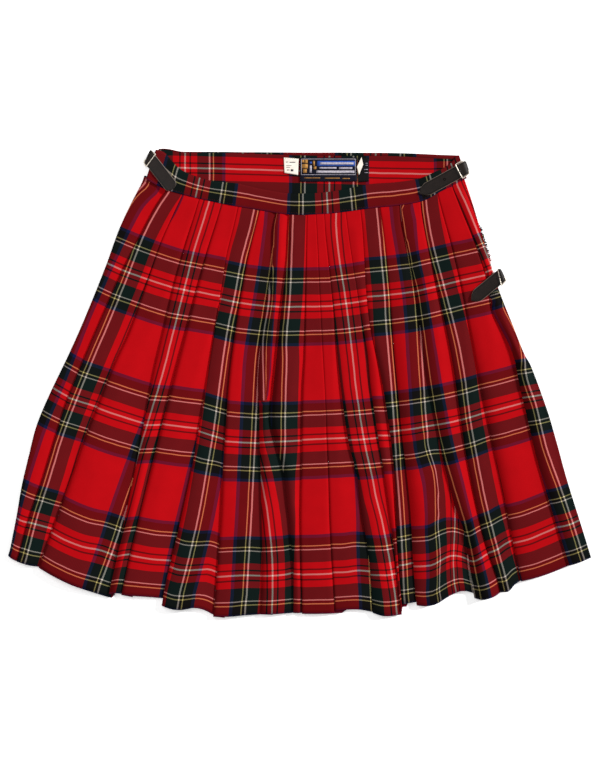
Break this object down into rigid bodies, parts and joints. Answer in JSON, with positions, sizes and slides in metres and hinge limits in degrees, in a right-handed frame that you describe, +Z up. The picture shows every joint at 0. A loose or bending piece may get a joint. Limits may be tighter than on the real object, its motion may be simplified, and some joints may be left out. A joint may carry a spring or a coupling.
{
  "type": "wrap skirt",
  "caption": "Kilted wrap skirt in red tartan, laid flat with its pleated back upwards, straps buckled at both sides and labels inside the waistband.",
  "frame": {"origin": "middle of the bounding box on the surface that the skirt lies on", "axes": "+X across the skirt, +Y from the hem towards the waist, +Z up out of the surface"},
  "size_m": [0.6932, 0.5569, 0.0114],
  "materials": {
    "tartan": "twill-woven worsted wool in a red tartan",
    "fringe_yarn": "loose worsted threads",
    "white_label": "white satin ribbon",
    "woven_label": "dense woven ribbon, navy with plain bars",
    "care_label": "black satin ribbon",
    "leather": "smooth dark brown strap leather",
    "buckle_metal": "nickel-plated frame"
  },
  "bodies": {
    "root": {"pleated_back": "tartan", "over_apron": "tartan", "under_apron": "tartan", "back_waistband": "tartan", "apron_waistband": "tartan", "inner_facing": "tartan", "fringe_edge": "fringe_yarn", "size_label": "white_label", "woven_label": "woven_label", "care_label": "care_label", "care_label_flap": "white_label", "strap_left_waist": "leather", "strap_right_waist": "leather", "strap_right_hip": "leather", "buckle_left_waist": "buckle_metal", "buckle_right_waist": "buckle_metal", "buckle_right_hip": "buckle_metal"}
  },
  "joints": []
}
